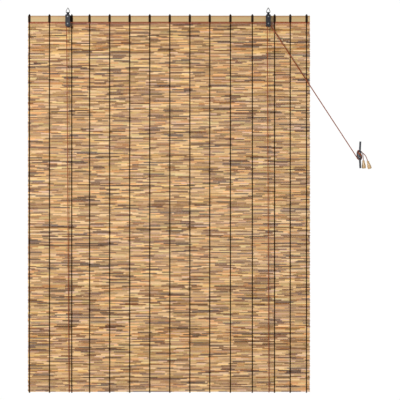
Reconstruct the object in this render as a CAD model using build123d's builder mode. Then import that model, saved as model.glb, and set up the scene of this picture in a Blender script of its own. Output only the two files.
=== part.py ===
"""A roll up blind of natural reeds, hung by two wire rings, with its pull cords on a wall cleat.

Millimetres. X runs to the right along the blind, Y runs away from the room towards the window and
Z is up. The origin is the left hanging ring's hook seat, the inside of its top bend.
"""

from build123d import *
import math
import os
import random

os.makedirs("parts", exist_ok=True)

# Mat
mat_width = 900.0
mat_height = 1202.0  # from the head batten's top to the last reed
batten_height = 20.0
batten_thickness = 6.0
batten_gap = 0.4  # between the batten and the first reed
reed_diameter = 3.5
reed_spread = 0.06  # how far a reed's radius strays from the mean
reed_pitch = 3.69
reed_end_play = 0.8  # how far a reed's end strays from the mat's edge
band_count = 16  # nodes that the reeds are kept in

# Warp yarns
yarn_margins = (4.6, 10.9)  # from the mat's left and right edges
yarn_gaps = (64, 71, 57, 64, 64, 64, 64, 64, 63.5, 66, 70, 71, 50, 52)
yarn_width = 2.9
yarn_thickness = 0.9
yarn_knot_width = 4.5  # where it is doubled round the batten
yarn_clearance = 0.3

# Brackets
bracket_insets = (128.5, 133.5)  # from the mat's left and right edges
bracket_width = 15.0
bracket_drop = 36.5  # below the batten's top
bracket_rise = 2.0  # of its shoulders above the batten's top
bracket_corner = 3.5
strap_thickness = 1.2
cheek_gap = 12.0
neck_width = 7.4
eye_rise = 8.0  # of the ring's pivot above the batten's top
eye_pinch = 1.7  # of the two legs below the pivot

# Hanging rings
wire_diameter = 2.0
ring_reach = 14.0  # from the pivot to the hook seat
ring_half_width = 5.7
ring_waist = 4.6  # height of the widest place above the pivot
ring_foot = 5.2  # half the length of the run through the eye
ring_top_bend = 1.4
ring_side_bend = 2.0
ring_foot_bend = 0.9
pin_clearance = 0.08

# Rivets, spacers and sheaves
rivet_drop = 5.5  # below the batten's top
axle_drop = 27.5
shank_radius = 1.2
shank_clearance = 0.06
head_radius = 2.2
head_height = 1.3
tail_height = 0.8
washer_radius = 4.0
washer_thickness = 0.8
spacer_radius = 2.4
sheave_radius = 5.0
sheave_width = 5.0
sheave_gap = 0.5  # between a sheave and the cheek beside it
groove_clearance = 0.3

# Cords
cord_diameter = 2.5
cord_knot_radius = 2.5
cord_clearance = 0.3
cord_exit_drop = 12.6  # of the hole for the cord's end, below the batten's top
cord_exit_bend = 3.0
cord_shift = 2.9  # of a lift cord to the right, at the mat's foot
traverse_sag = 0.6

# Cleat
cleat_offset = 158.0  # to the right of the mat
cleat_drop = 445.0  # below the batten's top
wall_gap = 12.0  # from the mat's middle to the wall
cleat_length = 85.0
cleat_depth = 25.0
horn_width = 5.6
horn_thickness = 6.0
horn_tip_thickness = 4.4
horn_tip_rise = 9.0
post_width = 9.6
post_height = 24.0
flange_margin = 2.2
flange_thickness = 3.0
screw_spacing = 16.0
screw_hole_radius = 2.1
screw_head_radius = 3.4

# Cord wrap and pulls
wrap_thickness = 2.8
wrap_depth = 9.0
wrap_clearance = 0.2
acorn_height = 26.0
acorn_top_radius = 3.9
acorn_neck_radius = 3.7
acorn_belly_radius = 6.6
acorn_bore_radius = cord_diameter / 2 + 0.25
acorn_knot_radius = 3.6
acorn_knot_depth = 7.0
acorn_tilts = (4.0, 16.0)  # of the inner and the outer acorn
tail_lead = 7.0  # of straight cord above an acorn

# Places that follow from the sizes above
wire_radius = wire_diameter / 2
cord_radius = cord_diameter / 2
eye_z = -ring_reach
batten_top = eye_z - eye_rise
batten_bottom = batten_top - batten_height
cheek_inner = cheek_gap / 2
cheek_outer = cheek_inner + strap_thickness
mat_y = cheek_outer + batten_thickness / 2
batten_back = mat_y + batten_thickness / 2
mat_left = -bracket_insets[0]
mat_right = mat_left + mat_width
bracket_places = {"left": 0.0, "right": mat_width - sum(bracket_insets)}
reed_count = int((mat_height - batten_height - batten_gap) / reed_pitch)
first_reed_z = batten_bottom - batten_gap - reed_diameter / 2
last_reed_z = first_reed_z - (reed_count - 1) * reed_pitch
reeds_per_band = math.ceil(reed_count / band_count)
rivet_z = batten_top - rivet_drop
axle_z = batten_top - axle_drop
cord_exit_z = batten_top - cord_exit_drop
bracket_foot = batten_top - bracket_drop
bracket_shoulder = batten_top + bracket_rise
shank_hole_radius = shank_radius + shank_clearance
cord_hole_radius = cord_radius + cord_clearance
sheave_y = cheek_inner - sheave_gap - sheave_width / 2
pitch_radius = sheave_radius - cord_radius - 0.25
cleat_x = mat_right + cleat_offset
cleat_z = batten_top - cleat_drop
wall_y = mat_y + wall_gap
horn_back = wall_y - cleat_depth + horn_thickness
wrap_y = horn_back + wrap_clearance  # the wrap's face behind the horns
wrap_half_width = post_width / 2 + wrap_clearance + wrap_thickness
wrap_half_height = post_height / 2 + wrap_clearance + wrap_thickness


def side_plane(x, y, z):
    """A plane seen from the right: its x is Y, its y is Z."""
    return Plane(origin=(x, y, z), x_dir=(0, 1, 0), z_dir=(1, 0, 0))


def front_plane(x, y, z):
    """A plane seen from the room: its x is X, its y is Z, and its normal points at the room."""
    return Plane(origin=(x, y, z), x_dir=(1, 0, 0), z_dir=(0, -1, 0))


def keep(piece, name):
    """Labels a finished piece and writes its file."""
    piece.part.label = name
    export_step(piece.part, f"parts/{name}.step")


# The head batten: one planed bamboo strip, drilled for each bracket's rivet and for the end of its
# lift cord.
with BuildPart() as head_batten:
    with BuildSketch(side_plane(mat_left, mat_y, (batten_top + batten_bottom) / 2)):
        RectangleRounded(batten_thickness, batten_height, 1.2)
    extrude(amount=mat_width)
    for bracket_x in bracket_places.values():
        with BuildSketch(front_plane(bracket_x, batten_back, 0)):
            with Locations((0, rivet_z)):
                Circle(shank_hole_radius)
            with Locations((0, cord_exit_z)):
                Circle(cord_hole_radius)
        extrude(amount=batten_thickness, mode=Mode.SUBTRACT)
keep(head_batten, "head_batten")


# The reeds: separate rods whose thickness and ends stray a little, in bands from top to bottom.
def reed_band(first, count):
    with BuildPart() as band:
        for row in range(first, first + count):
            chance = random.Random(row)
            radius = reed_diameter / 2 + chance.uniform(-reed_spread, reed_spread)
            start = mat_left + chance.uniform(-reed_end_play, reed_end_play)
            end = mat_right + chance.uniform(-reed_end_play, reed_end_play)
            with BuildSketch(side_plane(start, mat_y, first_reed_z - row * reed_pitch)):
                Circle(radius)
            extrude(amount=end - start)
    return band


for band_index in range(band_count):
    first_row = band_index * reeds_per_band
    rows = min(reeds_per_band, reed_count - first_row)
    keep(reed_band(first_row, rows), f"reeds_{band_index + 1:02d}")


# The warp yarns: each is a flat loop round the batten and all the reeds, doubled over the batten.
# The gaps between them follow the mat's width, and one that would meet a bracket stands beside it.
def yarn_places():
    stretch = (mat_width - sum(yarn_margins)) / sum(yarn_gaps)
    beside = (bracket_width + yarn_knot_width) / 2 + 0.1
    places = [mat_left + yarn_margins[0]]
    for gap in yarn_gaps:
        places.append(places[-1] + gap * stretch)
    for index, place in enumerate(places):
        for bracket_x in bracket_places.values():
            if abs(place - bracket_x) < beside:
                places[index] = bracket_x + beside
    return places


def warp_yarn(x):
    over_batten = batten_thickness / 2 + yarn_clearance
    over_reeds = reed_diameter / 2 + reed_spread + yarn_clearance
    top = batten_top + yarn_clearance
    waist = batten_bottom - yarn_clearance
    foot = last_reed_z - over_reeds
    outline = [
        (-over_batten, top),
        (-over_batten, waist),
        (-over_reeds, first_reed_z),
        (-over_reeds, foot),
        (over_reeds, foot),
        (over_reeds, first_reed_z),
        (over_batten, waist),
        (over_batten, top),
    ]
    with BuildPart() as yarn:
        with BuildSketch(side_plane(x - yarn_width / 2, mat_y, 0)):
            with BuildLine():
                Polyline(*outline, close=True)
            make_face()
            offset(amount=yarn_thickness, kind=Kind.INTERSECTION)
            with BuildLine():
                Polyline(*outline, close=True)
            make_face(mode=Mode.SUBTRACT)
        extrude(amount=yarn_width)
        with BuildSketch(side_plane(x - yarn_knot_width / 2, mat_y, 0)):
            with Locations((0, (top + waist) / 2)):
                Rectangle(2 * (over_batten + yarn_thickness), top - waist + 2 * yarn_thickness)
                Rectangle(2 * over_batten, top - waist, mode=Mode.SUBTRACT)
        extrude(amount=yarn_knot_width)
        # The doubled part is open below, where the loop runs on down the reeds.
        with BuildSketch(side_plane(x - yarn_knot_width / 2, mat_y, 0)):
            with Locations((0, waist - yarn_thickness / 2)):
                Rectangle(2 * over_batten, yarn_thickness)
        extrude(amount=yarn_knot_width, mode=Mode.SUBTRACT)
    return yarn


for yarn_index, yarn_x in enumerate(yarn_places()):
    keep(warp_yarn(yarn_x), f"warp_{yarn_index + 1:02d}")


# A bracket: one steel strap folded over the ring's wire. Its two legs are pinched together below
# the eye and spread into cheeks that hold the sheaves; the rear cheek lies on the batten.
def bracket(x):
    eye_radius = wire_radius + pin_clearance
    pinch_z = eye_z - eye_pinch
    with BuildPart() as strap:
        with BuildSketch(side_plane(x - bracket_width / 2, 0, 0)):
            for side in (-1, 1):
                with BuildLine():
                    Polyline(
                        (side * cheek_outer, bracket_foot),
                        (side * cheek_outer, bracket_shoulder - 1.0),
                        (side * (strap_thickness + 0.05), pinch_z),
                        (side * 0.05, pinch_z),
                        (side * 0.05, pinch_z - strap_thickness),
                        (side * cheek_inner, bracket_shoulder - 1.6),
                        (side * cheek_inner, bracket_foot),
                        close=True,
                    )
                make_face()
            with Locations((0, eye_z)):
                Circle(eye_radius + strap_thickness)
                Circle(eye_radius, mode=Mode.SUBTRACT)
        extrude(amount=bracket_width)
        with BuildSketch(front_plane(x, cheek_outer, 0)):
            with Locations((0, (bracket_shoulder + bracket_foot) / 2)):
                RectangleRounded(
                    bracket_width, bracket_shoulder - bracket_foot, bracket_corner
                )
            with Locations((0, (eye_z + bracket_shoulder) / 2)):
                Rectangle(neck_width, 2 * (eye_z - bracket_shoulder))
        extrude(amount=2 * cheek_outer, mode=Mode.INTERSECT)
        with BuildSketch(front_plane(x, cheek_outer, 0)):
            with Locations((0, rivet_z), (0, axle_z)):
                Circle(shank_hole_radius)
        extrude(amount=2 * cheek_outer, mode=Mode.SUBTRACT)
        with BuildSketch(front_plane(x, cheek_outer, 0)):
            with Locations((0, cord_exit_z)):
                Circle(cord_hole_radius)
        extrude(amount=strap_thickness, mode=Mode.SUBTRACT)
    return strap


# A hanging ring: steel wire bent to a kite, with its foot through the bracket's eye. The sides run
# straight from the widest place to the top bend.
def hanging_ring(x):
    bend_z = wire_radius - ring_top_bend
    side_z = eye_z + ring_waist
    reach = math.hypot(ring_half_width, bend_z - side_z)
    slope = math.atan2(ring_half_width, bend_z - side_z) - math.asin(ring_top_bend / reach)
    peak_z = bend_z + ring_top_bend / math.sin(slope)
    corners = [
        (x - ring_foot, 0, eye_z),
        (x + ring_foot, 0, eye_z),
        (x + ring_half_width, 0, side_z),
        (x, 0, peak_z),
        (x - ring_half_width, 0, side_z),
    ]
    bends = [ring_foot_bend, ring_foot_bend, ring_side_bend, ring_top_bend, ring_side_bend]
    with BuildPart() as ring:
        with BuildLine():
            FilletPolyline(*corners, radius=bends, close=True)
        with BuildSketch(side_plane(x, 0, eye_z)):
            Circle(wire_radius)
        sweep()
    return ring


# A rivet: a domed head on the front cheek, a shank through everything and a flat tail.
def rivet(x, z, rear_face):
    with BuildPart() as pin:
        with BuildSketch(front_plane(x, -cheek_outer, z)):
            Circle(head_radius)
        extrude(amount=head_height, taper=22)
        with BuildSketch(front_plane(x, -cheek_outer, z)):
            Circle(shank_radius)
        extrude(amount=-(rear_face + cheek_outer))
        with BuildSketch(front_plane(x, rear_face, z)):
            Circle(head_radius)
        extrude(amount=-tail_height)
    return pin


# A plain tube on a rivet's shank, from one face to another.
def tube_on_shank(x, z, radius, front_face, rear_face):
    with BuildPart() as sleeve:
        with BuildSketch(front_plane(x, rear_face, z)):
            Circle(radius)
            Circle(shank_hole_radius, mode=Mode.SUBTRACT)
        extrude(amount=rear_face - front_face)
    return sleeve


# A sheave: a small wheel with a round groove that the cord lies in with clearance.
def sheave(x, y):
    groove_radius = cord_radius + groove_clearance
    with BuildPart() as wheel:
        with BuildSketch(side_plane(x, y, axle_z)):
            with BuildLine():
                Polyline(
                    (-sheave_width / 2, shank_hole_radius),
                    (sheave_width / 2, shank_hole_radius),
                    (sheave_width / 2, sheave_radius),
                    (-sheave_width / 2, sheave_radius),
                    close=True,
                )
            make_face()
            with Locations((0, pitch_radius)):
                Circle(groove_radius, mode=Mode.SUBTRACT)
            with BuildLine():
                Polyline(
                    (-groove_radius, pitch_radius),
                    (groove_radius, pitch_radius),
                    (groove_radius + 0.3, sheave_radius + 1),
                    (-groove_radius - 0.3, sheave_radius + 1),
                    close=True,
                )
            make_face(mode=Mode.SUBTRACT)
        revolve(axis=Axis((x, y, axle_z), (0, 1, 0)))
    return wheel


for side_name, bracket_x in bracket_places.items():
    keep(bracket(bracket_x), f"bracket_{side_name}")
    keep(hanging_ring(bracket_x), f"ring_{side_name}")
    keep(rivet(bracket_x, rivet_z, batten_back + washer_thickness), f"rivet_{side_name}")
    keep(rivet(bracket_x, axle_z, cheek_outer), f"axle_{side_name}")
    keep(
        tube_on_shank(bracket_x, rivet_z, spacer_radius, -cheek_inner, cheek_inner),
        f"spacer_{side_name}",
    )
    keep(
        tube_on_shank(
            bracket_x, rivet_z, washer_radius, batten_back, batten_back + washer_thickness
        ),
        f"washer_{side_name}",
    )

left_x = bracket_places["left"]
right_x = bracket_places["right"]
keep(sheave(left_x, -sheave_y), "sheave_left")
keep(sheave(right_x, -sheave_y), "sheave_right_front")
keep(sheave(right_x, sheave_y), "sheave_right_rear")
sleeve_front = -sheave_y + sheave_width / 2 + sheave_gap
keep(
    tube_on_shank(left_x, axle_z, spacer_radius, sleeve_front, cheek_inner),
    "axle_sleeve_left",
)


# The cleat: a moulded post on an oblong foot, with two horns that rise towards their tips and two
# countersunk screw holes through the post.
with BuildPart() as cleat:
    with BuildSketch(front_plane(cleat_x, wall_y, cleat_z)):
        RectangleRounded(
            post_width + 2 * flange_margin,
            post_height + 2 * flange_margin,
            post_width / 2 + flange_margin - 0.1,
        )
    extrude(amount=flange_thickness)
    with BuildSketch(front_plane(cleat_x, wall_y, cleat_z)):
        RectangleRounded(post_width, post_height, post_width / 2 - 0.1)
    extrude(amount=cleat_depth)
    half_length = cleat_length / 2
    front = -cleat_depth
    with BuildSketch(side_plane(cleat_x - horn_width / 2, wall_y, cleat_z)):
        with BuildLine():
            Polyline(
                (front, -post_height / 2),
                (front, post_height / 2),
                (front - horn_tip_rise, half_length),
                (front - horn_tip_rise + horn_tip_thickness, half_length),
                (front + horn_thickness, post_height / 2),
                (front + horn_thickness, -post_height / 2),
                (front - horn_tip_rise + horn_tip_thickness, -half_length),
                (front - horn_tip_rise, -half_length),
                close=True,
            )
        make_face()
    extrude(amount=horn_width)
    tips = cleat.edges().filter_by(Axis.X).group_by(Axis.Z)
    fillet(tips[0] + tips[-1], horn_tip_thickness / 2 - 0.2)
    for screw_z in (-screw_spacing / 2, screw_spacing / 2):
        with BuildSketch(front_plane(cleat_x, wall_y, cleat_z)):
            with Locations((0, screw_z)):
                Circle(screw_hole_radius)
        extrude(amount=cleat_depth, mode=Mode.SUBTRACT)
        with BuildSketch(front_plane(cleat_x, wall_y - cleat_depth, cleat_z)):
            with Locations((0, screw_z)):
                Circle(screw_head_radius)
        extrude(
            amount=-(screw_head_radius - screw_hole_radius), taper=45, mode=Mode.SUBTRACT
        )
keep(cleat, "cleat")

# The cord wrap: the outer shape of the two pull cords' turns round the post, behind the horns.
with BuildPart() as cleat_wrap:
    with BuildSketch(front_plane(cleat_x, wrap_y + wrap_depth, cleat_z)):
        RectangleRounded(2 * wrap_half_width, 2 * wrap_half_height, wrap_half_width - 0.1)
        RectangleRounded(
            post_width + 2 * wrap_clearance,
            post_height + 2 * wrap_clearance,
            post_width / 2 + wrap_clearance - 0.1,
            mode=Mode.SUBTRACT,
        )
    extrude(amount=wrap_depth)
keep(cleat_wrap, "cleat_wrap")


def free_radii(route):
    """For each inner point of a route, the radius of the largest arc that its two runs leave."""
    found = []
    for before, here, after in zip(route, route[1:], route[2:]):
        run_in = Vector(*here) - Vector(*before)
        run_out = Vector(*after) - Vector(*here)
        half_turn = math.radians(run_in.get_angle(run_out)) / 2
        found.append(0.45 * min(run_in.length, run_out.length) / math.tan(half_turn))
    return found


def cord_tube(route, radii):
    """A cord: a round section swept along straight runs joined by tangent arcs."""
    start = Vector(*route[0])
    with BuildPart() as tube:
        with BuildLine() as line:
            FilletPolyline(*route, radius=radii)
        with BuildSketch(Plane(origin=start, z_dir=Vector(*route[1]) - start)):
            Circle(cord_radius)
        sweep()
    length = sum(edge.length for edge in line.edges())
    share = tube.part.volume / (math.pi * cord_radius**2 * length)
    print("cord length", round(length, 1), "radii", [round(r, 1) for r in radii])
    print("cord volume over section times length", round(share, 4))
    return tube


def wrap_corners(x, y, angles):
    """Corners of the tangents that touch a sheave's pitch circle at these angles, in order."""
    corners = []
    for first, second in zip(angles, angles[1:]):
        middle = math.radians((first + second) / 2)
        reach = pitch_radius / math.cos(math.radians(first - second) / 2)
        corners.append((x + reach * math.cos(middle), y, axle_z + reach * math.sin(middle)))
    return corners


def lift_route(x, y):
    """From the knot in the bracket, through the batten, down behind the mat and up its front."""
    around = reed_diameter / 2 + reed_spread + cord_clearance + cord_radius
    foot_z = last_reed_z - around
    return [
        (x, cheek_inner - 3.0, cord_exit_z),
        (x, batten_back + cord_exit_bend + 0.2, cord_exit_z),
        (x + cord_shift, mat_y + around, foot_z),
        (x + cord_shift, mat_y - around, foot_z),
    ], [cord_exit_bend, around - 0.05, around - 0.05]


# The lift cords. Each starts at a knot inside its bracket, goes down behind the mat, round its foot
# and up in front to its sheave. The left one then crosses to the right bracket's rear sheave, and
# both run on, pulled tight, to the wrap on the cleat.
pull_ends = {
    "left": (cleat_x - wrap_half_width + 1.8, wrap_y + 4.5, cleat_z - 11.2),
    "right": (cleat_x - wrap_half_width + 2.6, wrap_y + 1.5, cleat_z - 12.4),
}


def pull_angle(end):
    """The angle at which a cord bound for this end leaves the pitch circle."""
    dx = end[0] - right_x
    dz = end[2] - axle_z
    bearing = math.degrees(math.atan2(dz, dx))
    return bearing + math.degrees(math.acos(pitch_radius / math.hypot(dx, dz)))


def lift_cord(route, radii, x):
    tube = cord_tube(route, radii)
    with BuildPart() as cord:
        add(tube.part)
        with Locations((x, cheek_inner - 3.0, cord_exit_z)):
            Sphere(cord_knot_radius)
    return cord


route, radii = lift_route(right_x, -sheave_y)
leave = pull_angle(pull_ends["right"])
route += wrap_corners(right_x, -sheave_y, (180, (180 + leave) / 2, leave))
route += [pull_ends["right"]]
radii += [pitch_radius - 0.1] * 2  # a little under, so that a short run parts the two arcs
keep(lift_cord(route, radii, right_x), "lift_cord_right")

route, radii = lift_route(left_x, -sheave_y)
leave = pull_angle(pull_ends["left"])
route += wrap_corners(left_x, -sheave_y, (180, 90))
route += [((left_x + right_x) / 2, 0.0, axle_z + pitch_radius - traverse_sag)]
route += wrap_corners(right_x, sheave_y, (90, leave))
route += [pull_ends["left"]]
sag_radius = free_radii(route)[4]
keep(
    lift_cord(route, radii + [pitch_radius, sag_radius, pitch_radius], left_x),
    "lift_cord_left",
)


# The turned wooden pulls: a bell with a bore for the cord and a pocket below for its knot.
def acorn(top, tilt):
    frame = Plane(origin=top, x_dir=(math.cos(tilt), 0, math.sin(tilt)), z_dir=(0, -1, 0))
    with BuildPart() as bell:
        with BuildSketch(frame):
            with BuildLine():
                Line((0, 0), (acorn_top_radius - 1.0, 0))
                Spline(
                    (acorn_top_radius - 1.0, 0),
                    (acorn_top_radius, -2.0),
                    (acorn_neck_radius, -5.5),
                    (acorn_belly_radius - 0.9, -acorn_height + 13.0),
                    (acorn_belly_radius, -acorn_height + 4.0),
                    (acorn_belly_radius - 1.0, -acorn_height + 0.8),
                )
                Line(
                    (acorn_belly_radius - 1.0, -acorn_height + 0.8),
                    (acorn_belly_radius - 2.2, -acorn_height),
                )
                Line((acorn_belly_radius - 2.2, -acorn_height), (0, -acorn_height))
                Line((0, -acorn_height), (0, 0))
            make_face()
            with Locations((acorn_bore_radius / 2, -acorn_height / 2)):
                Rectangle(acorn_bore_radius, acorn_height + 1, mode=Mode.SUBTRACT)
            with Locations((acorn_knot_radius / 2, -acorn_height)):
                Rectangle(acorn_knot_radius, 2 * acorn_knot_depth, mode=Mode.SUBTRACT)
        revolve(axis=Axis(frame.origin, -frame.y_dir))
    return bell


# Each tail: from the wrap's upper end, out and down to its pull. It comes straight into the bore
# and ends at a knot in the pocket.
def tail(route, top, down):
    straight_from = Vector(*top) - down * tail_lead
    knot_at = Vector(*top) + down * (acorn_height - acorn_knot_depth + cord_knot_radius + 0.2)
    whole = route + [tuple(straight_from), tuple(knot_at)]
    tube = cord_tube(whole, free_radii(whole))
    with BuildPart() as cord:
        add(tube.part)
        with Locations(tuple(knot_at)):
            Sphere(cord_knot_radius)
    return cord


inner_y = wrap_y + 1.8
outer_y = wrap_y + 5.2
inner_top = (cleat_x + 12.1, inner_y, cleat_z - 17.0)
outer_top = (cleat_x + 26.3, outer_y, cleat_z - 18.8)
inner_tilt, outer_tilt = (math.radians(tilt) for tilt in acorn_tilts)
inner_down = Vector(math.sin(inner_tilt), 0, -math.cos(inner_tilt))
outer_down = Vector(math.sin(outer_tilt), 0, -math.cos(outer_tilt))
keep(acorn(inner_top, inner_tilt), "acorn_inner")
keep(acorn(outer_top, outer_tilt), "acorn_outer")
inner_route = [
    (cleat_x + 3.3, inner_y, cleat_z + 12.9),
    (cleat_x + 9.4, inner_y, cleat_z + 8.8),
    (cleat_x + 10.9, inner_y, cleat_z - 1.0),
]
outer_route = [
    (cleat_x + 3.3, outer_y, cleat_z + 12.9),
    (cleat_x + 9.2, outer_y, cleat_z + 7.8),
    (cleat_x + 15.8, outer_y, cleat_z + 2.6),
    (cleat_x + 21.0, outer_y, cleat_z - 4.6),
]
keep(tail(inner_route, inner_top, inner_down), "tail_inner")
keep(tail(outer_route, outer_top, outer_down), "tail_outer")
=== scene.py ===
"""The looks of a reed roll up blind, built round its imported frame.

Metres, in the frame's own axes: X to the right along the blind, Y away from the room, Z up.
"""

import math
import random
import bpy
from mathutils import Matrix, Vector


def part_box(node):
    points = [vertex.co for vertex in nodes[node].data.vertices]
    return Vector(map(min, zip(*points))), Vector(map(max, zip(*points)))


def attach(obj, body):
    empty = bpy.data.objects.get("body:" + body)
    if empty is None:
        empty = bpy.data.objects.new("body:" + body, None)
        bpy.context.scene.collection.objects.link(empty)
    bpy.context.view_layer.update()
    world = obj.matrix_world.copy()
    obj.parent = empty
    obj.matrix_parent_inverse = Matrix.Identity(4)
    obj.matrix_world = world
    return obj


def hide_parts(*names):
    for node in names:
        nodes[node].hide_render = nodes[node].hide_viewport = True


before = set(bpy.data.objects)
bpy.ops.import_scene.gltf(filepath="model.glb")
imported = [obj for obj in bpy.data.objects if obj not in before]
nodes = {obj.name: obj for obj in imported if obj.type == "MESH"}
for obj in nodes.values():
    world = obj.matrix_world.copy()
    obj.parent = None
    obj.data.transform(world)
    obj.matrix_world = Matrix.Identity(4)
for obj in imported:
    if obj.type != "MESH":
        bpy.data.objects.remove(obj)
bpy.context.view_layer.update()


# Reeds. Each row is one dried reed stem, hollow, tapering to one end, with a raised joint or two.
# Five stems are modelled, and every row is a copy of one, cut to its own length. The bark keeps the
# streaks of the plant's growth: abrupt lengths of straw, brown, rust, grey green and mauve. The
# first two rows are stained rust. The pitch and the radius are assumed, and weren't measured.
reed_pitch = 0.00369
reed_radius = 0.00175
reed_spread = 0.00006
reed_end_play = 0.0008
reed_sides = 10
batten_gap = 0.0004
joint_lip = 0.0035  # a stem is of unit length, so this is a share of it
bark_run = 0.037
streak_run = 0.06
reed_bands = sorted(name for name in nodes if name.startswith("reeds_"))
mat_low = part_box(reed_bands[-1])[0]
mat_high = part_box(reed_bands[0])[1]
mat_y = (mat_low.y + mat_high.y) / 2
batten_low, batten_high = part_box("head_batten")
mat_left = batten_low.x
mat_right = batten_high.x
first_reed_z = batten_low.z - batten_gap - reed_radius
reed_count = round((first_reed_z - mat_low.z - reed_radius) / reed_pitch) + 1
reeds_per_band = math.ceil(reed_count / len(reed_bands))


def deselect():
    """Leaves nothing selected, so that the next primitive is modelled alone."""
    if bpy.context.object and bpy.context.object.mode == "EDIT":
        bpy.ops.object.mode_set(mode="OBJECT")
    bpy.ops.object.select_all(action="DESELECT")


def edit(piece, mode="VERT"):
    """Opens a piece for modelling, with nothing in it selected."""
    deselect()
    piece.select_set(True)
    bpy.context.view_layer.objects.active = piece
    bpy.ops.object.mode_set(mode="EDIT")
    bpy.ops.mesh.select_mode(type=mode)
    bpy.ops.mesh.select_all(action="DESELECT")


def pick(piece, test):
    """Selects the open piece's vertices that pass a test of their place."""
    bpy.ops.mesh.select_mode(type="VERT")
    bpy.ops.mesh.select_all(action="DESELECT")
    bpy.ops.object.mode_set(mode="OBJECT")
    for vertex in piece.data.vertices:
        vertex.select = test(vertex.co)
    bpy.ops.object.mode_set(mode="EDIT")


def joined(parts, name):
    """Joins parts into one named piece."""
    deselect()
    for part in parts:
        part.select_set(True)
    bpy.context.view_layer.objects.active = parts[0]
    if len(parts) > 1:
        bpy.ops.object.join()
    piece = bpy.context.object
    piece.name = name
    piece.data.name = name
    return piece


def twin(master, matrix):
    """A copy of a part with its own mesh, put in place by a matrix."""
    copy = master.copy()
    copy.data = master.data.copy()
    copy.data.transform(matrix)
    bpy.context.scene.collection.objects.link(copy)
    return copy


def dress(piece, material):
    """Gives a piece one material in place of what it had."""
    piece.data.materials.clear()
    piece.data.materials.append(material)


class Flow:
    """One output of a finish's node, so that shader maths reads as plain Python."""

    def __init__(self, finish, socket):
        self.finish = finish
        self.socket = socket

    def maths(self, operation, first, second=0.0):
        return self.finish.add("Math", {"operation": operation}, {0: first, 1: second})

    def __add__(self, other):
        return self.maths("ADD", self, other)

    def __sub__(self, other):
        return self.maths("SUBTRACT", self, other)

    def __rsub__(self, other):
        return self.maths("SUBTRACT", other, self)

    def __mul__(self, other):
        return self.maths("MULTIPLY", self, other)

    def __truediv__(self, other):
        return self.maths("DIVIDE", self, other)

    def __gt__(self, other):
        return self.maths("GREATER_THAN", self, other)

    def __lt__(self, other):
        return self.maths("LESS_THAN", self, other)

    def floor(self):
        return self.maths("FLOOR", self)

    def sine(self):
        return self.maths("SINE", self)

    __radd__ = __add__
    __rmul__ = __mul__


class Finish:
    """A material: one Principled shader and the nodes that feed it."""

    def __init__(self, name, **constants):
        self.material = bpy.data.materials.new(name)
        self.material.use_nodes = True
        self.tree = self.material.node_tree
        self.shader = self.tree.nodes["Principled BSDF"]
        for socket, value in constants.items():
            self.shader.inputs[socket.replace("_", " ")].default_value = value

    def add(self, kind, settings, inputs, output=0):
        """Adds a node, sets it up, feeds its sockets and gives one of its outputs."""
        node = self.tree.nodes.new("ShaderNode" + kind)
        for name, value in settings.items():
            if name == "stops":
                self.stops(node.color_ramp, value)
            else:
                setattr(node, name, value)
        for name, value in inputs.items():
            if isinstance(value, Flow):
                self.tree.links.new(value.socket, node.inputs[name])
            else:
                node.inputs[name].default_value = value
        return Flow(self, node.outputs[output])

    def stops(self, ramp, stops):
        while len(ramp.elements) < len(stops):
            ramp.elements.new(1.0)
        for element, (place, colour) in zip(ramp.elements, stops):
            element.position = place
            element.color = (*colour, 1.0)

    def feed(self, socket, flow):
        self.tree.links.new(flow.socket, self.shader.inputs[socket])

    def place(self):
        """Object coordinates, as a vector and as its x, y and z."""
        vector = self.add("TexCoord", {}, {}, "Object")
        return vector, [self.add("SeparateXYZ", {}, {0: vector}, axis) for axis in "XYZ"]

    def stretched(self, vector, scale):
        return self.add("Mapping", {}, {"Vector": vector, "Scale": scale})

    def noise(self, vector, scale, detail=3.0):
        return self.add("TexNoise", {}, {"Vector": vector, "Scale": scale, "Detail": detail})

    def cells(self, along):
        """Random lengths along a line, each with its own colour of chance."""
        inputs = {"W": along, "Scale": 1.0}
        return self.add("TexVoronoi", {"voronoi_dimensions": "1D"}, inputs, "Color")

    def parts_of(self, colour):
        bands = ("Red", "Green", "Blue")
        return [self.add("SeparateColor", {}, {0: colour}, band) for band in bands]

    def ramp(self, factor, stops, interpolation="LINEAR"):
        found = self.add("ValToRGB", {"stops": stops}, {"Fac": factor})
        found.socket.node.color_ramp.interpolation = interpolation
        return found

    def mix(self, factor, first, second, blend="MIX"):
        settings = {"data_type": "RGBA", "blend_type": blend}
        inputs = {0: factor, 6: first, 7: second}
        return self.add("Mix", settings, inputs, 2)

    def bump(self, height, strength, distance):
        inputs = {"Height": height, "Strength": strength, "Distance": distance}
        self.feed("Normal", self.add("Bump", {}, inputs))


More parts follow.
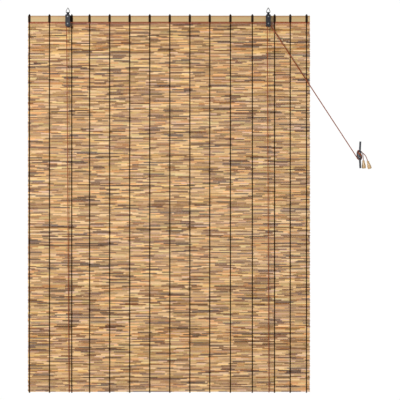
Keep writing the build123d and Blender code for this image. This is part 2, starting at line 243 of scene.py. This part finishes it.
def reed_stem(seed):
    """A stem of unit length from x = 0 to 1, on the X axis, with joints and hollow ends."""
    corner_radius = reed_radius * 1.03
    chance = random.Random(seed)
    deselect()
    bpy.ops.mesh.primitive_cylinder_add(
        vertices=reed_sides,
        radius=corner_radius,
        depth=1.0,
        location=(0.5, 0, 0),
        rotation=(0, math.pi / 2, 0),
    )
    stem = bpy.context.object
    bpy.ops.object.transform_apply()
    edit(stem)
    pick(stem, lambda co: co.x > 0.9)
    bpy.ops.transform.resize(value=(1, 0.97, 0.97), center_override=(1, 0, 0))
    for joint in (chance.uniform(0.12, 0.42), chance.uniform(0.58, 0.88)):
        for offset in (-joint_lip, 0, joint_lip):
            bpy.ops.mesh.select_all(action="SELECT")
            bpy.ops.mesh.bisect(plane_co=(joint + offset, 0, 0), plane_no=(1, 0, 0))
        pick(stem, lambda co, at=joint: abs(co.x - at) < 0.001)
        lift = chance.uniform(-0.00006, 0.00006)
        bpy.ops.transform.resize(value=(1, 1.03, 1.03), center_override=(joint, 0, 0))
        bpy.ops.transform.translate(value=(0, 0, lift))
    for end, inward in ((0, 0.004), (1, -0.004)):
        pick(stem, lambda co, at=end: abs(co.x - at) < 0.001)
        bpy.ops.mesh.select_mode(type="FACE")
        bpy.ops.mesh.inset(thickness=reed_radius * 0.35)
        bpy.ops.mesh.extrude_region_move(TRANSFORM_OT_translate={"value": (inward, 0, 0)})
    bpy.ops.object.mode_set(mode="OBJECT")
    bpy.ops.object.shade_smooth_by_angle(angle=math.radians(50))
    return stem


def reed_bark():
    finish = Finish("reed_bark", Specular_IOR_Level=0.2)
    vector, (x, _, z) = finish.place()
    row = ((first_reed_z - z) / reed_pitch + 0.5).floor()
    tone, chance, hue = finish.parts_of(finish.cells(x / bark_run + row * 17.37))
    body = finish.ramp(
        tone,
        [
            (0.0, (0.27, 0.13, 0.045)),
            (0.2, (0.44, 0.245, 0.095)),
            (0.45, (0.58, 0.345, 0.14)),
            (0.72, (0.74, 0.47, 0.21)),
            (1.0, (0.95, 0.68, 0.36)),
        ],
    )
    tints = [
        (0.0, (1.0, 1.0, 1.0)),
        (0.52, (0.92, 1.01, 0.88)),
        (0.64, (1.08, 0.89, 0.72)),
        (0.77, (0.90, 0.86, 1.12)),
        (0.88, (1.06, 1.04, 0.80)),
    ]
    body = finish.mix(1.0, body, finish.ramp(hue, tints, "CONSTANT"), "MULTIPLY")
    streak, streak_hue, _ = finish.parts_of(finish.cells(x / streak_run + row * 31.71 + 5.3))
    dark = finish.ramp(
        streak_hue,
        [
            (0.0, (0.10, 0.04, 0.014)),
            (0.4, (0.18, 0.06, 0.016)),
            (0.6, (0.15, 0.09, 0.05)),
            (0.8, (0.22, 0.10, 0.035)),
        ],
        "CONSTANT",
    )
    body = finish.mix((streak > 0.87) * 0.9, body, dark)
    fibre = finish.noise(finish.stretched(vector, (18.0, 900.0, 900.0)), 1.0, 4.0)
    body = finish.mix(fibre * 0.3, body, (0.34, 0.21, 0.12, 1.0), "MULTIPLY")
    rust = finish.mix(fibre, (0.42, 0.09, 0.016, 1.0), (0.22, 0.038, 0.008, 1.0))
    finish.feed("Base Color", finish.mix((row < 1.5) * 0.55 + (row < 0.5) * 0.4, body, rust))
    finish.feed("Roughness", 0.5 + fibre * 0.25)
    finish.bump(fibre, 0.35, 0.0002)
    return finish.material


stems = [reed_stem(seed) for seed in range(5)]
bark = reed_bark()
for band_index, node in enumerate(reed_bands):
    first_row = band_index * reeds_per_band
    copies = []
    for row in range(first_row, min(first_row + reeds_per_band, reed_count)):
        chance = random.Random(row)
        thick = 1 + chance.uniform(-reed_spread, reed_spread) / reed_radius
        start = mat_left + chance.uniform(-reed_end_play, reed_end_play)
        end = mat_right + chance.uniform(-reed_end_play, reed_end_play)
        stem = chance.choice(stems)
        turn = Matrix.Rotation(chance.uniform(0, math.tau), 4, "X")
        if chance.random() < 0.5:
            turn = Matrix.Translation((1, 0, 0)) @ Matrix.Rotation(math.pi, 4, "Z") @ turn
        size = Matrix.Diagonal((end - start, thick, thick, 1))
        place = Matrix.Translation((start, mat_y, first_reed_z - row * reed_pitch))
        copies.append(twin(stem, place @ size @ turn))
    band = joined(copies, f"{node}_stems")
    dress(band, bark)
    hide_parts(node)
    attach(band, "blind")
for stem in stems:
    bpy.data.objects.remove(stem)


# Head batten. One strip of split bamboo, planed flat, the bark side forward. Long pale and
# greenish grain, a browner top edge and a faint ring where the culm's joints were.
def planed_bamboo():
    finish = Finish("planed_bamboo", Specular_IOR_Level=0.3)
    vector, (x, _, z) = finish.place()
    depth = (batten_high.z - z) / (batten_high.z - batten_low.z)
    grain = finish.noise(finish.stretched(vector, (3.0, 500.0, 420.0)), 1.0, 5.0)
    broad = finish.noise(finish.stretched(vector, (5.0, 60.0, 150.0)), 1.0, 2.0)
    colour = finish.ramp(
        depth + (broad - 0.5) * 0.25,
        [
            (0.0, (0.28, 0.15, 0.055)),
            (0.12, (0.40, 0.235, 0.10)),
            (0.26, (0.52, 0.35, 0.17)),
            (0.5, (0.57, 0.40, 0.20)),
            (0.68, (0.51, 0.40, 0.195)),
            (0.84, (0.59, 0.43, 0.22)),
            (1.0, (0.50, 0.32, 0.14)),
        ],
    )
    colour = finish.mix(grain * 0.35, colour, (0.42, 0.27, 0.13, 1.0), "MULTIPLY")
    edge = finish.add(
        "TexVoronoi",
        {"voronoi_dimensions": "1D", "feature": "DISTANCE_TO_EDGE"},
        {"W": x, "Scale": 4.0},
    )
    colour = finish.mix((edge < 0.006) * 0.15, colour, (0.30, 0.17, 0.08, 1.0))
    finish.feed("Base Color", colour)
    finish.feed("Roughness", 0.36 + grain * 0.2)
    finish.bump(grain, 0.3, 0.0002)
    return finish.material


dress(nodes["head_batten"], planed_bamboo())


# Warp yarns. Two dark spun strands twine down the mat and swap sides at every reed. At the top they
# are wound twice round the batten and knotted over its edge, and they end in a knot at the foot.
strand_radius = 0.00072
strand_flatness = 2.2  # how much wider than thick a strand lies under its own tension
strand_bulge = (reed_radius + strand_radius) / 0.75
batten_wrap = (batten_high.y - batten_low.y) / 2 + strand_radius
turn_shift = 0.0008


def strand(points, radius, name, radii=None, closed=False):
    """A NURBS curve through the given points, with a round section."""
    curve = bpy.data.curves.new(name, "CURVE")
    curve.dimensions = "3D"
    curve.bevel_depth = radius
    curve.bevel_resolution = 1
    curve.resolution_u = 2
    curve.use_fill_caps = True
    spline = curve.splines.new("NURBS")
    spline.points.add(len(points) - 1)
    for index, point in enumerate(points):
        spline.points[index].co = (*point, 1.0)
        if radii:
            spline.points[index].radius = radii[index]
    spline.order_u = 3
    spline.use_endpoint_u = not closed
    spline.use_cyclic_u = closed
    made = bpy.data.objects.new(name, curve)
    bpy.context.scene.collection.objects.link(made)
    return made


def as_mesh(curve):
    """Turns a curve into a mesh, smooth but for its ends."""
    deselect()
    curve.select_set(True)
    bpy.context.view_layer.objects.active = curve
    bpy.ops.object.convert(target="MESH")
    bpy.ops.object.shade_smooth_by_angle(angle=math.radians(70))
    return bpy.context.object


def twined(side):
    """One strand of the pair: in front of every second reed and behind the others."""
    top = batten_high.z + strand_radius
    points = [
        (0, mat_y, top + 0.0006),
        (0.0004 * side, mat_y + side * batten_wrap, top),
        (0.0006 * side, mat_y + side * batten_wrap, batten_low.z + 0.001),
    ]
    for row in range(reed_count):
        z = first_reed_z - row * reed_pitch
        facing = side * (1 if row % 2 else -1)
        points.append((-0.00055 * side, mat_y, z + reed_pitch / 2))
        points.append((0.0002 * side, mat_y + facing * strand_bulge, z))
    points.append((0, mat_y, z - reed_pitch * 0.62))
    return as_mesh(strand(points, strand_radius, "twined"))


def batten_turn(shift):
    """One turn round the batten."""
    low = batten_low.z - strand_radius * 0.6
    high = batten_high.z + strand_radius * 0.9
    reach = batten_wrap * 1.08
    points = [
        (shift, mat_y - reach, high - 0.002),
        (shift, mat_y - reach, (high + low) / 2),
        (shift, mat_y - reach, low + 0.002),
        (shift, mat_y - reach * 0.8, low),
        (shift, mat_y + reach * 0.8, low),
        (shift, mat_y + reach, low + 0.002),
        (shift, mat_y + reach, (high + low) / 2),
        (shift, mat_y + reach, high - 0.002),
        (shift, mat_y + reach * 0.8, high),
        (shift, mat_y - reach * 0.8, high),
    ]
    return as_mesh(strand(points, strand_radius * 1.15, "turn", closed=True))


def yarn_knots():
    """The pointed knot over the batten's edge and the knot under the last reed."""
    top = batten_high.z
    foot = first_reed_z - (reed_count - 1) * reed_pitch - reed_radius
    over = [
        (0, mat_y - 0.003, top),
        (0.0002, mat_y - 0.002, top + 0.0024),
        (0, mat_y, top + 0.0052),
    ]
    under = [
        (0, mat_y, foot - 0.0002),
        (0.0003, mat_y, foot - 0.0016),
        (-0.0004, mat_y, foot - 0.0034),
    ]
    parts = [as_mesh(strand(over, strand_radius * 2.3, "knot", [0.9, 1.0, 0.25]))]
    parts.append(as_mesh(strand(under, strand_radius * 2.0, "knot", [0.9, 1.0, 0.35])))
    return parts


def spun_yarn():
    finish = Finish("spun_yarn", Roughness=0.95, Specular_IOR_Level=0.1)
    vector, (x, _, z) = finish.place()
    fuzz = finish.noise(finish.stretched(vector, (1.0, 1.0, 0.4)), 1800.0, 3.0)
    ply = ((z * 2600.0 + x * 3400.0).sine() + 1.0) * 0.5
    dark, light = (0.007, 0.0035, 0.002, 1.0), (0.034, 0.018, 0.010, 1.0)
    finish.feed("Base Color", finish.mix(fuzz * 0.6 + ply * 0.35, dark, light))
    finish.bump(fuzz * 0.4 + ply * 0.6, 0.6, 0.0003)
    return finish.material


strands = [twined(-1), twined(1), batten_turn(-turn_shift), batten_turn(turn_shift)]
yarn = joined([*strands, *yarn_knots()], "yarn")
yarn.data.transform(Matrix.Diagonal((strand_flatness, 1, 1, 1)))
dress(yarn, spun_yarn())
for node in sorted(name for name in nodes if name.startswith("warp_")):
    low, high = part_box(node)
    piece = twin(yarn, Matrix.Translation(((low.x + high.x) / 2, 0, 0)))
    piece.name = f"{node}_twined"
    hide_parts(node)
    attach(piece, "blind")
bpy.data.objects.remove(yarn)


# Brackets. Folded steel strap, stoved black, with a slightly uneven satin skin that catches a cool
# light. Each hangs on its ring and clasps the batten with one rivet.
def stoved_black():
    finish = Finish("stoved_black", Specular_IOR_Level=0.35)
    vector, _ = finish.place()
    mottle = finish.noise(vector, 420.0, 4.0)
    dark, light = (0.006, 0.0065, 0.009, 1.0), (0.02, 0.021, 0.027, 1.0)
    finish.feed("Base Color", finish.mix(mottle, dark, light))
    finish.feed("Roughness", 0.34 + mottle * 0.3)
    finish.bump(mottle, 0.2, 0.0002)
    return finish.material


black = stoved_black()
for side in ("left", "right"):
    dress(nodes[f"bracket_{side}"], black)


# Rings, rivets, spacers and washers. Zinc-plated steel, dull grey, the rings' wire the darker.
def zinc(name, shade, rough):
    finish = Finish(name, Metallic=1.0)
    vector, _ = finish.place()
    cloud = finish.noise(vector, 420.0, 3.0)
    dark, light = (shade * 0.8, shade * 0.8, shade * 0.82, 1.0), (shade, shade, shade, 1.0)
    finish.feed("Base Color", finish.mix(cloud, dark, light))
    finish.feed("Roughness", rough + cloud * 0.15)
    finish.bump(cloud, 0.08, 0.0001)
    return finish.material


wire_zinc = zinc("wire_zinc", 0.1, 0.3)
rivet_zinc = zinc("rivet_zinc", 0.34, 0.4)
for name, node in nodes.items():
    if name.startswith(("ring_", "rivet_", "axle_", "spacer_", "washer_")):
        dress(node, wire_zinc if name.startswith("ring_") else rivet_zinc)


# Sheaves. Small moulded wheels of pale, faintly clouded nylon.
def nylon():
    finish = Finish("nylon", Specular_IOR_Level=0.45)
    vector, _ = finish.place()
    cloud = finish.noise(vector, 300.0, 2.0)
    finish.feed("Base Color", finish.mix(cloud, (0.62, 0.6, 0.54, 1.0), (0.78, 0.76, 0.7, 1.0)))
    finish.feed("Roughness", 0.4 + cloud * 0.15)
    return finish.material


wheel_nylon = nylon()
for name, node in nodes.items():
    if name.startswith("sheave_"):
        dress(node, wheel_nylon)


# Lift cords. Rust-coloured braid, 2.5 mm thick. Each is knotted inside its bracket, goes down
# behind the mat and up its front over a sheave, and both run on, pulled tight, to the cleat.
cord_radius = 0.00125
axle_z = sum(corner.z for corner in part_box("axle_left")) / 2
left_x, right_x = (sum(corner.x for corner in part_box(f"axle_{s}")) / 2 for s in ("left", "right"))
sheave_low, sheave_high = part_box("sheave_left")
front_y = (sheave_low.y + sheave_high.y) / 2
rear_y = -front_y
groove_depth = 0.00025  # from a sheave's rim to a cord that lies in its groove
pitch_radius = (sheave_high.z - sheave_low.z) / 2 - cord_radius - groove_depth
cleat_low, cleat_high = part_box("cleat")
cleat_x = (cleat_low.x + cleat_high.x) / 2
cleat_z = (cleat_low.z + cleat_high.z) / 2
wrap_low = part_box("cleat_wrap")[0]
wrap_y = wrap_low.y
hole_z = batten_high.z - 0.0126
behind_batten = batten_high.y + 0.0032
foot_shift = 0.0029  # how far a cord drifts to the right on its way down
cord_clearance = 0.0003
foot_z = first_reed_z - (reed_count - 1) * reed_pitch
around = reed_radius + reed_spread + cord_clearance + cord_radius
knot_radius = 0.0025
beside = 0.015  # how far from a sheave or the mat's foot a straight run gets a point


def cord(points, name):
    """A strand of the cord's own thickness, finer than a yarn's."""
    made = strand(points, cord_radius, name)
    made.data.bevel_resolution = 3
    made.data.resolution_u = 8
    return made


def lift_points(x, y):
    """From the knot, through the batten, down the back, round the foot and up to the sheave."""
    foot_x = x + foot_shift
    lean = (foot_z - axle_z) / (y - mat_y + around)
    return [
        (x, 0.003, hole_z),
        (x, 0.010, hole_z),
        (x, behind_batten, hole_z),
        (x, behind_batten - 0.0001, hole_z - beside),
        (foot_x, mat_y + around, foot_z + beside),
        (foot_x, mat_y + around, foot_z - around),
        (foot_x, mat_y - around, foot_z - around),
        (foot_x, mat_y - around - beside / abs(lean), foot_z + beside),
        (x - pitch_radius, y, axle_z - beside),
    ]


def over_sheave(x, y, angles):
    """Corners of the tangents that touch the pitch circle at these angles, in order."""
    corners = []
    for first, second in zip(angles, angles[1:]):
        middle = math.radians((first + second) / 2)
        reach = pitch_radius / math.cos(math.radians(first - second) / 2)
        corners.append((x + reach * math.cos(middle), y, axle_z + reach * math.sin(middle)))
    return corners


def towards(start, end, distance):
    """The point at a distance from start on the way to end."""
    start, end = Vector(start), Vector(end)
    return tuple(start + (end - start).normalized() * distance)


left_end = (wrap_low.x + 0.0018, wrap_y + 0.0045, cleat_z - 0.0112)
right_end = (wrap_low.x + 0.0026, wrap_y + 0.0015, cleat_z - 0.0124)
leaving = 33.3  # degrees round the sheave where a cord bound for the cleat leaves it

right_route = lift_points(right_x, front_y)
right_route += over_sheave(right_x, front_y, (180, 131.3, 82.6, leaving))
right_route += [towards(right_route[-1], right_end, beside)]
right_route += [towards(right_end, right_route[-1], beside), right_end]

left_route = lift_points(left_x, front_y)
left_route += over_sheave(left_x, front_y, (180, 135, 90))
middle = ((left_x + right_x) / 2, (front_y + rear_y) / 2, axle_z + pitch_radius - 0.0006)
sheave_top = (right_x, rear_y, axle_z + pitch_radius)
left_route += [towards((left_x, front_y, sheave_top[2]), middle, beside), middle]
left_route += [towards(sheave_top, middle, beside)]
left_route += over_sheave(right_x, rear_y, (90, 62, leaving))
left_route += [towards(left_route[-1], left_end, beside)]
left_route += [towards(left_end, left_route[-1], beside), left_end]


def braid(name, shade):
    finish = Finish(name, Roughness=0.8, Specular_IOR_Level=0.2)
    vector, (x, y, z) = finish.place()
    one_way = (z * 5200.0 + x * 3900.0).sine()
    other_way = (z * 3900.0 - x * 5200.0 + y * 4300.0).sine()
    crossing = (one_way * other_way + 1.0) * 0.5
    fuzz = finish.noise(vector, 1500.0, 2.0)
    dark = tuple(value * 0.55 for value in shade) + (1.0,)
    light = tuple(value * 1.3 for value in shade) + (1.0,)
    finish.feed("Base Color", finish.mix(crossing * 0.6 + fuzz * 0.4, dark, light))
    finish.bump(crossing * 0.7 + fuzz * 0.3, 0.5, 0.0003)
    return finish.material


rust_braid = braid("rust_braid", (0.28, 0.07, 0.024))


def end_knot(place, name):
    """The knot at a cord's end, pulled into a ball."""
    deselect()
    bpy.ops.mesh.primitive_uv_sphere_add(
        segments=12, ring_count=8, radius=knot_radius, location=place
    )
    ball = bpy.context.object
    bpy.ops.object.transform_apply()
    bpy.ops.object.shade_smooth()
    ball.name = name
    return ball


def cord_piece(piece, node):
    piece.data.materials.append(rust_braid)
    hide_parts(node)
    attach(piece, "blind")
    return piece


for side, route in (("left", left_route), ("right", right_route)):
    cord_piece(cord(route, f"lift_cord_{side}_braid"), f"lift_cord_{side}")
    cord_piece(end_knot(route[0], f"lift_cord_{side}_knot"), f"lift_cord_{side}")


# Cleat. One moulding with two horns, glossy grey black, its lower horn catching the light.
def moulded_black():
    finish = Finish("moulded_black", Specular_IOR_Level=0.55, Coat_Roughness=0.25)
    vector, _ = finish.place()
    grain = finish.noise(vector, 700.0, 3.0)
    shine = finish.noise(vector, 60.0, 2.0)
    dark, light = (0.018, 0.02, 0.026, 1.0), (0.04, 0.043, 0.055, 1.0)
    finish.feed("Base Color", finish.mix(grain, dark, light))
    finish.feed("Roughness", 0.22 + shine * 0.2)
    finish.bump(grain, 0.1, 0.0001)
    return finish.material


dress(nodes["cleat"], moulded_black())


# Cord turns. Each cord passes behind the lower horn, crosses the post in front, goes behind the
# upper horn and leaves beside it, so that the two hold each other on the cleat.
def at_cleat(x, y, z):
    return (cleat_x + x / 1000, wrap_y + y / 1000, cleat_z + z / 1000)


inner_turns = [
    left_end,
    at_cleat(-3.4, 4.4, -14.4),
    at_cleat(3.0, 3.4, -14.4),
    at_cleat(7.0, 1.2, -8.6),
    at_cleat(5.0, -5.4, -3.8),
    at_cleat(0.3, -7.9, 0.6),
    at_cleat(-4.8, -5.4, 4.6),
    at_cleat(-7.0, 1.4, 9.0),
    at_cleat(-3.4, 2.6, 13.9),
    at_cleat(1.4, 2.2, 14.4),
    at_cleat(3.3, 1.8, 12.9),
]
outer_turns = [
    right_end,
    at_cleat(-2.4, 1.6, -16.2),
    at_cleat(4.2, 3.6, -15.8),
    at_cleat(8.0, 4.6, -9.6),
    at_cleat(6.4, -4.6, -0.8),
    at_cleat(0.6, -8.0, 3.4),
    at_cleat(-5.4, -5.2, 7.6),
    at_cleat(-7.6, 3.8, 11.4),
    at_cleat(-3.6, 6.0, 15.9),
    at_cleat(1.6, 5.6, 15.6),
    at_cleat(3.3, 5.2, 12.9),
]
wound = [as_mesh(cord(route, "turns")) for route in (inner_turns, outer_turns)]
cord_piece(joined(wound, "cleat_wrap_turns"), "cleat_wrap")


# Pulls. Turned from pale wood like a small bell: a bead at the top for the cord, a narrow neck, a
# full belly and a hollowed foot for the knot. One hangs straight and the other leans.
pull_height = 0.026
blank_radius = 0.005  # of the cylinder that a pull is turned from
foot_radius = 0.0046
rim = 0.0012
knot_depth = 0.0217  # of a tail's knot below the pull's top
pull_rings = [
    (0.0, 0.0030),
    (0.0007, 0.0038),
    (0.0022, 0.0042),
    (0.0037, 0.0040),
    (0.0048, 0.0034),
    (0.0066, 0.0041),
    (0.0100, 0.0050),
    (0.0150, 0.0061),
    (0.0210, 0.0068),
    (0.0238, 0.0067),
    (0.0254, 0.0056),
]
tail_lead = 0.007
inner_tilt = math.radians(4.0)
outer_tilt = math.radians(16.0)
inner_top = at_cleat(12.1, 1.8, -17.0)
outer_top = at_cleat(26.3, 5.2, -18.8)


def turned_pull(top, tilt, name):
    """A cylinder cut into rings, each ring brought to the profile's radius, then smoothed."""
    deselect()
    bpy.ops.mesh.primitive_cylinder_add(
        vertices=20, radius=blank_radius, depth=pull_height, location=(0, 0, -pull_height / 2)
    )
    pull = bpy.context.object
    bpy.ops.object.transform_apply()
    edit(pull)
    for drop, _ in pull_rings[1:]:
        bpy.ops.mesh.select_all(action="SELECT")
        bpy.ops.mesh.bisect(plane_co=(0, 0, -drop), plane_no=(0, 0, 1))
    for drop, radius in [*pull_rings, (pull_height, foot_radius)]:
        pick(pull, lambda co, at=drop: abs(co.z + at) < 0.00005)
        share = radius / blank_radius
        bpy.ops.transform.resize(value=(share, share, 1), center_override=(0, 0, -drop))
    for end, inward in ((0, -0.002), (pull_height, 0.006)):
        pick(pull, lambda co, at=end: abs(co.z + at) < 0.00005)
        bpy.ops.mesh.select_mode(type="FACE")
        bpy.ops.mesh.inset(thickness=rim)
        bpy.ops.mesh.extrude_region_move(TRANSFORM_OT_translate={"value": (0, 0, inward)})
    bpy.ops.object.mode_set(mode="OBJECT")
    smooth = pull.modifiers.new("smooth", "SUBSURF")
    smooth.levels = smooth.render_levels = 2
    bpy.ops.object.modifier_apply(modifier="smooth")
    bpy.ops.object.shade_smooth()
    pull.data.transform(Matrix.Translation(top) @ Matrix.Rotation(-tilt, 4, "Y"))
    pull.name = name
    return pull


def turned_wood():
    finish = Finish("turned_wood", Specular_IOR_Level=0.5, Coat_Roughness=0.2)
    finish.shader.inputs["Coat Weight"].default_value = 0.3
    vector, _ = finish.place()
    grain = finish.noise(finish.stretched(vector, (500.0, 500.0, 70.0)), 1.0, 4.0)
    warmth = finish.noise(vector, 90.0, 2.0)
    colour = finish.mix(grain, (0.60, 0.41, 0.20, 1.0), (0.38, 0.21, 0.085, 1.0))
    finish.feed("Base Color", finish.mix(warmth * 0.4, colour, (0.66, 0.49, 0.27, 1.0)))
    finish.feed("Roughness", 0.3 + grain * 0.2)
    finish.bump(grain, 0.15, 0.0001)
    return finish.material


pale_wood = turned_wood()
for end, top, tilt in (("inner", inner_top, inner_tilt), ("outer", outer_top, outer_tilt)):
    pull = turned_pull(top, tilt, f"acorn_{end}_turned")
    dress(pull, pale_wood)
    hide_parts(f"acorn_{end}")
    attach(pull, "blind")


# Tails. The free ends of the two cords: out from beside the upper horn, down under their own
# weight, and through the pulls to a knot.
def down(top, tilt, distance):
    """The point at a distance from a pull's top along its leaning axis."""
    return (top[0] + distance * math.sin(tilt), top[1], top[2] - distance * math.cos(tilt))


inner_tail = [
    at_cleat(3.3, 1.8, 12.9),
    at_cleat(9.4, 1.8, 8.8),
    at_cleat(10.9, 1.8, -1.0),
    down(inner_top, inner_tilt, -tail_lead),
    down(inner_top, inner_tilt, knot_depth),
]
outer_tail = [
    at_cleat(3.3, 5.2, 12.9),
    at_cleat(9.2, 5.2, 7.8),
    at_cleat(15.8, 5.2, 2.6),
    at_cleat(21.0, 5.2, -4.6),
    down(outer_top, outer_tilt, -tail_lead),
    down(outer_top, outer_tilt, knot_depth),
]
tails = (("inner", inner_tail, 0.0546), ("outer", outer_tail, 0.0619))
for end, route, length in tails:
    tail = cord_piece(cord(route, f"tail_{end}_braid"), f"tail_{end}")
    ball = cord_piece(end_knot(route[-1], f"tail_{end}_knot"), f"tail_{end}")


# Studio. A camera square to the mat and a little to its right, a small key high on the left, a wide
# fill, a pale floor well below and a glowing white backdrop.
camera_from_mat = Vector((0.0991, -3.194, 0.0113))
board_size = 22.0
floor_drop = 1.15
backdrop_y = 5.4
mat_middle = Vector(((mat_left + mat_right) / 2, mat_y, (batten_high.z + foot_z) / 2))
camera_data = bpy.data.cameras.new("camera")
camera_data.lens = 90.0
camera_data.sensor_width = 36.0
camera = bpy.data.objects.new("camera", camera_data)
camera.location = mat_middle + camera_from_mat
camera.rotation_euler = (math.pi / 2, 0, 0)
bpy.context.scene.collection.objects.link(camera)
bpy.context.scene.camera = camera


def lamp(name, place, size, power):
    """A round lamp that faces the middle of the mat."""
    data = bpy.data.lights.new(name, "AREA")
    data.shape = "DISK"
    data.size = size
    data.energy = power
    made = bpy.data.objects.new(name, data)
    made.location = place
    made.rotation_euler = (mat_middle - place).to_track_quat("-Z", "Y").to_euler()
    bpy.context.scene.collection.objects.link(made)


lamp("key", mat_middle + Vector((-2.5, -3.8, 2.1)), 0.3, 196.0)
lamp("fill", mat_middle + Vector((1.6, -3.6, 0.6)), 2.4, 18.0)


def pale(name, shade, glow=0.0):
    finish = Finish(name, Roughness=0.9, Emission_Strength=glow)
    finish.shader.inputs["Base Color"].default_value = (shade, shade, shade, 1)
    finish.shader.inputs["Emission Color"].default_value = (1, 1, 1, 1)
    return finish.material


def board(name, place, rotation, material):
    """A large square of the room, which is not part of the blind."""
    deselect()
    bpy.ops.mesh.primitive_plane_add(size=board_size, location=place, rotation=rotation)
    made = bpy.context.object
    made.name = name
    made.data.materials.append(material)


floor_z = mat_low.z - floor_drop
backdrop_place = (mat_middle.x, backdrop_y, floor_z + board_size / 2)
board("floor", (mat_middle.x, 0.0, floor_z), (0, 0, 0), pale("pale_floor", 0.86))
board("backdrop", backdrop_place, (math.pi / 2, 0, 0), pale("white", 0.0, 1.0))

world = bpy.data.worlds.new("studio")
world.use_nodes = True
world.node_tree.nodes["Background"].inputs["Color"].default_value = (1, 1, 1, 1)
world.node_tree.nodes["Background"].inputs["Strength"].default_value = 0.32
bpy.context.scene.world = world
bpy.context.scene.view_settings.view_transform = "Standard"
